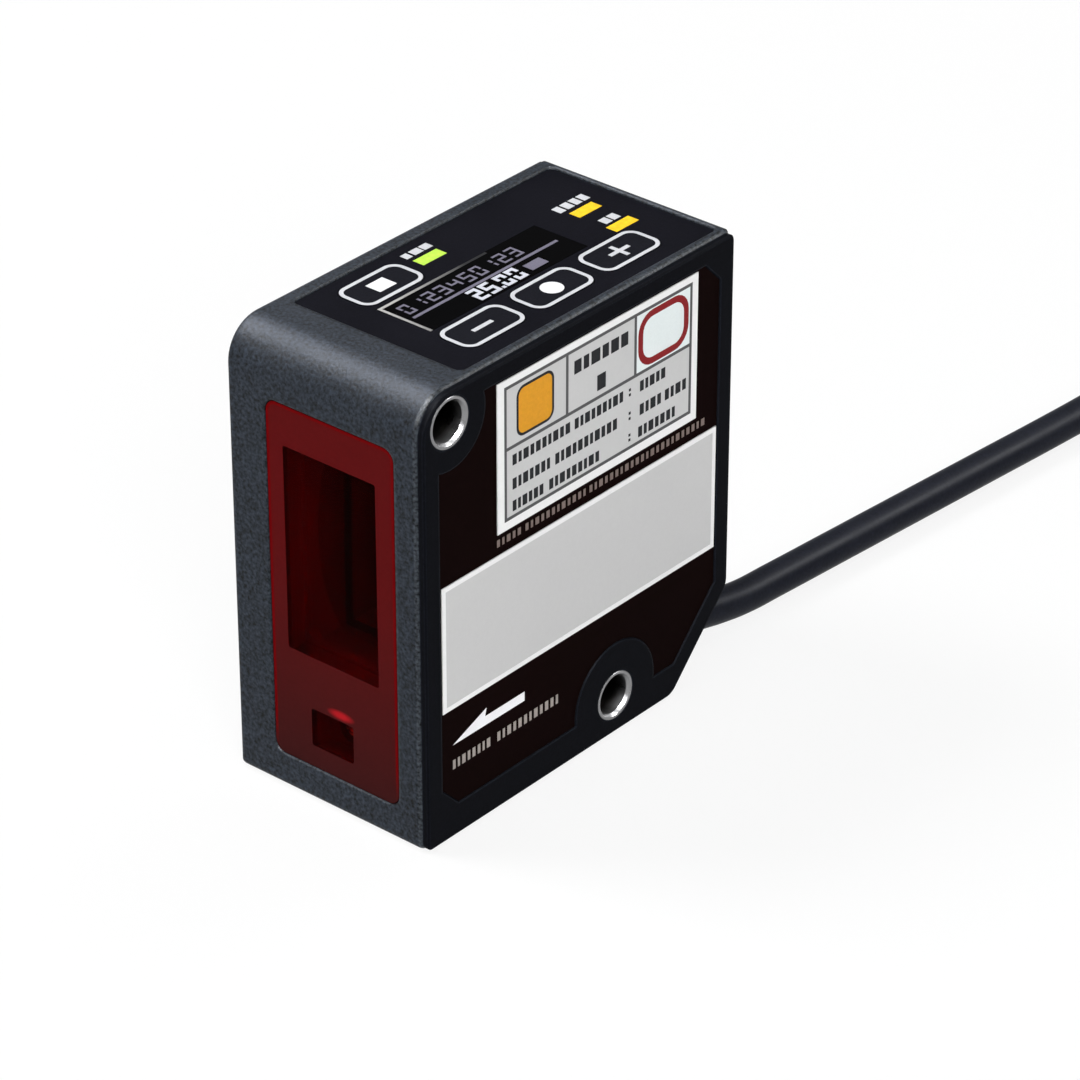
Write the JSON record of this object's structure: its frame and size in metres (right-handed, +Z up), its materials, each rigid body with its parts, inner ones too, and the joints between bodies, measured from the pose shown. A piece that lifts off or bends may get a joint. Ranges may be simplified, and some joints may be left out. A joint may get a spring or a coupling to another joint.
{
  "type": "laser displacement sensor",
  "caption": "Box-shaped laser displacement sensor with a red front window, a control panel with keys and a display on top, a labelled side cover, through bores and a short plug cable.",
  "frame": {"origin": "centre of the body's footprint, on the flat bottom face; the cable and its plug aren't counted", "axes": "+Z up, -Y out of the window along the beam, +X out of the labelled side cover"},
  "size_m": [0.0303, 0.2267, 0.05],
  "materials": {
    "housing": "fine textured dark grey paint",
    "cover": "satin black",
    "rubber": "matt black",
    "steel": "bright turned steel",
    "label": "very dark brown printed film",
    "plate": "light grey printed film",
    "red_window": "clear dark red plastic",
    "inner_plastic": "matt black moulding",
    "lens": "clear polished",
    "brass": "gold plated or turned brass",
    "board": "green solder mask",
    "chip": "black moulded package",
    "panel": "satin dark film",
    "display": "glossy smoked window",
    "key": "satin dark key top",
    "green_light": "translucent green",
    "yellow_light": "translucent yellow",
    "lamp": "pale lamp package",
    "cable": "satin black jacket",
    "grip": "black overmould",
    "nickel": "nickel plated"
  },
  "bodies": {
    "sensor": {"housing": "housing", "side_cover": "cover", "cover_gasket": "rubber", "cable_bush": "rubber", "cover_screws": "steel", "upper_bushing": "steel", "lower_bushing": "steel", "board_screws": "steel", "side_label": "label", "data_plate": "plate", "name_plate": "plate", "front_window": "red_window", "window_seal": "inner_plastic", "optics_frame": "inner_plastic", "plug_insert": "inner_plastic", "receiver_lens": "lens", "emitter_lens": "lens", "laser_holder": "brass", "laser_diode": "brass", "plug_pins": "brass", "sensor_board": "board", "main_board": "board", "display_board": "board", "image_sensor": "chip", "board_chips": "chip", "display_module": "chip", "key_switches": "chip", "control_panel": "panel", "display_window": "display", "power_light_guide": "green_light", "output_light_guides": "yellow_light", "indicator_lamps": "lamp", "cable": "cable", "plug_body": "grip"},
    "square_button": {"square_key": "key", "square_plunger": "chip"},
    "minus_button": {"minus_key": "key", "minus_plunger": "chip"},
    "dot_button": {"dot_key": "key", "dot_plunger": "chip"},
    "plus_button": {"plus_key": "key", "plus_plunger": "chip"},
    "plug_screw": {"coupling_screw": "nickel", "plug_seal": "rubber"}
  },
  "joints": [
    {"name": "square_press", "type": "slide", "parent": "sensor", "child": "square_button", "axis": [0, 0, -1], "range_m": [0, 0.00025], "stiffness_N_per_m": 6000},
    {"name": "minus_press", "type": "slide", "parent": "sensor", "child": "minus_button", "axis": [0, 0, -1], "range_m": [0, 0.00025], "stiffness_N_per_m": 6000},
    {"name": "dot_press", "type": "slide", "parent": "sensor", "child": "dot_button", "axis": [0, 0, -1], "range_m": [0, 0.00025], "stiffness_N_per_m": 6000},
    {"name": "plus_press", "type": "slide", "parent": "sensor", "child": "plus_button", "axis": [0, 0, -1], "range_m": [0, 0.00025], "stiffness_N_per_m": 6000},
    {"name": "coupling_turn", "type": "hinge", "parent": "sensor", "child": "plug_screw", "pos_m": [0.01275, 0.1906, 0.005], "axis": [0, 1, 0], "continuous": true}
  ]
}
